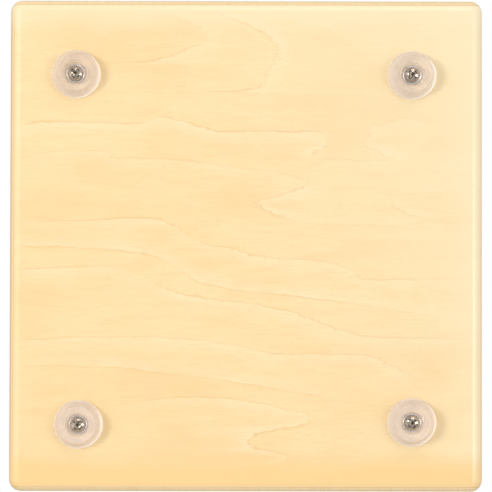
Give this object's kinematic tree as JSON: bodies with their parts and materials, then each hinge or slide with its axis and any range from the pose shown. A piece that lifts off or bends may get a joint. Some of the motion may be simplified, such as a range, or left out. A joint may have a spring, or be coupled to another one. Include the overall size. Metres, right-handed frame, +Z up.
{
  "type": "cajon",
  "caption": "Upright wooden box drum with a thin front playing plate, a round sound hole in the back, snare wires inside and clear rubber feet.",
  "frame": {"origin": "on the floor under the middle of the box, at the height of the feet's contact faces", "axes": "+Z up, -Y the front (the playing plate's side), +Y the back (the sound hole's side), +X to the right as seen from the front"},
  "size_m": [0.295, 0.3064, 0.48],
  "materials": {
    "maple_plywood": "clear satin lacquer over pale rotary-cut maple veneer, ply layers showing on the rounded edges",
    "spruce": "planed, unfinished",
    "clear_rubber": "translucent milky, smooth",
    "nickel": "bright nickel plate",
    "zinc_steel": "zinc plate",
    "snare_steel": "bare spring steel, tinned at the plate"
  },
  "bodies": {
    "root": {"back_panel": "maple_plywood", "bottom_board": "maple_plywood", "corner_batten_bottom_left": "spruce", "corner_batten_bottom_right": "spruce", "corner_batten_top_left": "spruce", "corner_batten_top_right": "spruce", "foot_front_left": "clear_rubber", "foot_front_right": "clear_rubber", "foot_rear_left": "clear_rubber", "foot_rear_right": "clear_rubber", "foot_screw_front_left": "nickel", "foot_screw_front_right": "nickel", "foot_screw_rear_left": "nickel", "foot_screw_rear_right": "nickel", "foot_washer_front_left": "nickel", "foot_washer_front_right": "nickel", "foot_washer_rear_left": "nickel", "foot_washer_rear_right": "nickel", "front_batten_bottom": "spruce", "front_batten_left": "spruce", "front_batten_right": "spruce", "front_batten_top": "spruce", "left_side": "maple_plywood", "rail_screw_left": "zinc_steel", "rail_screw_right": "zinc_steel", "right_side": "maple_plywood", "snare_left": "snare_steel", "snare_rail": "spruce", "snare_right": "snare_steel", "snare_screw_left_1": "zinc_steel", "snare_screw_left_2": "zinc_steel", "snare_screw_right_1": "zinc_steel", "snare_screw_right_2": "zinc_steel", "tapa": "maple_plywood", "tapa_screw_bottom_1": "zinc_steel", "tapa_screw_bottom_2": "zinc_steel", "tapa_screw_bottom_3": "zinc_steel", "tapa_screw_left_1": "zinc_steel", "tapa_screw_left_2": "zinc_steel", "tapa_screw_left_3": "zinc_steel", "tapa_screw_left_4": "zinc_steel", "tapa_screw_left_5": "zinc_steel", "tapa_screw_right_1": "zinc_steel", "tapa_screw_right_2": "zinc_steel", "tapa_screw_right_3": "zinc_steel", "tapa_screw_right_4": "zinc_steel", "tapa_screw_right_5": "zinc_steel", "tapa_screw_top_1": "zinc_steel", "tapa_screw_top_2": "zinc_steel", "tapa_screw_top_3": "zinc_steel", "top_board": "maple_plywood"}
  },
  "joints": []
}
